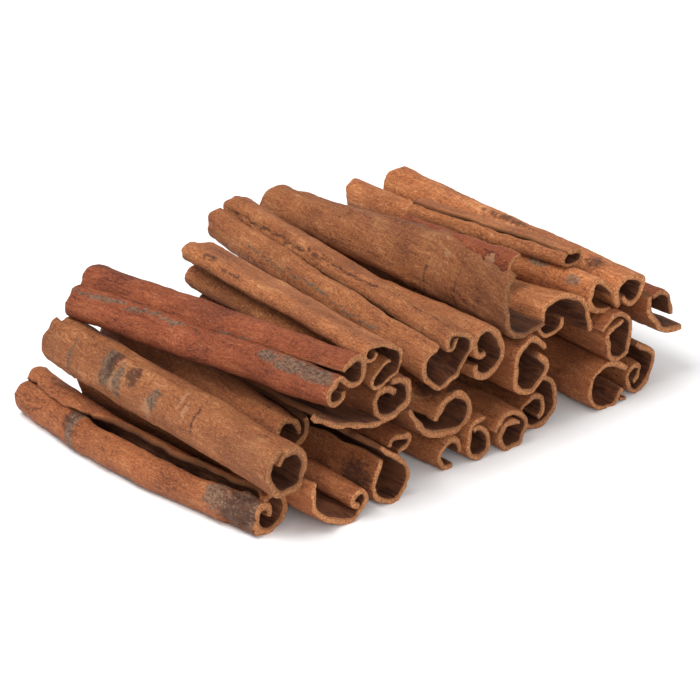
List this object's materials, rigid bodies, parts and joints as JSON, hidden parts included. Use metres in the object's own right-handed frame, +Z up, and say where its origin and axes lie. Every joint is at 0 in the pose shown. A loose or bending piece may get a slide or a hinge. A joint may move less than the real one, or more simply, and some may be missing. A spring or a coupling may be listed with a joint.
{
  "type": "cinnamon stick stack",
  "caption": "Loose stack of rolled cinnamon bark sticks lying side by side, as they lie on a table.",
  "frame": {"origin": "centre of the stack's footprint, at table height", "axes": "+X along the row of sticks, +Y along the sticks from their cut near ends to their far ends, +Z up"},
  "size_m": [0.1316, 0.092, 0.0452],
  "materials": {
    "tan_bark": "matt, dry",
    "brown_bark": "matt, dry",
    "red_bark": "matt, dry"
  },
  "bodies": {
    "root": {"splinter": "red_bark", "stick_01": "brown_bark", "stick_02": "tan_bark", "stick_03": "brown_bark", "stick_04": "red_bark", "stick_05": "tan_bark", "stick_06": "brown_bark", "stick_07": "brown_bark", "stick_08": "tan_bark", "stick_09": "brown_bark", "stick_10": "brown_bark", "stick_11": "brown_bark", "stick_12": "brown_bark", "stick_13": "tan_bark", "stick_14": "tan_bark", "stick_15": "tan_bark", "stick_16": "tan_bark", "stick_17": "tan_bark", "stick_18": "tan_bark", "stick_19": "tan_bark", "stick_20": "red_bark", "stick_21": "tan_bark", "stick_22": "tan_bark", "stick_23": "tan_bark", "stick_24": "tan_bark", "stick_25": "red_bark", "stick_26": "brown_bark", "stick_27": "brown_bark", "stick_28": "brown_bark", "stick_29": "brown_bark"}
  },
  "joints": []
}
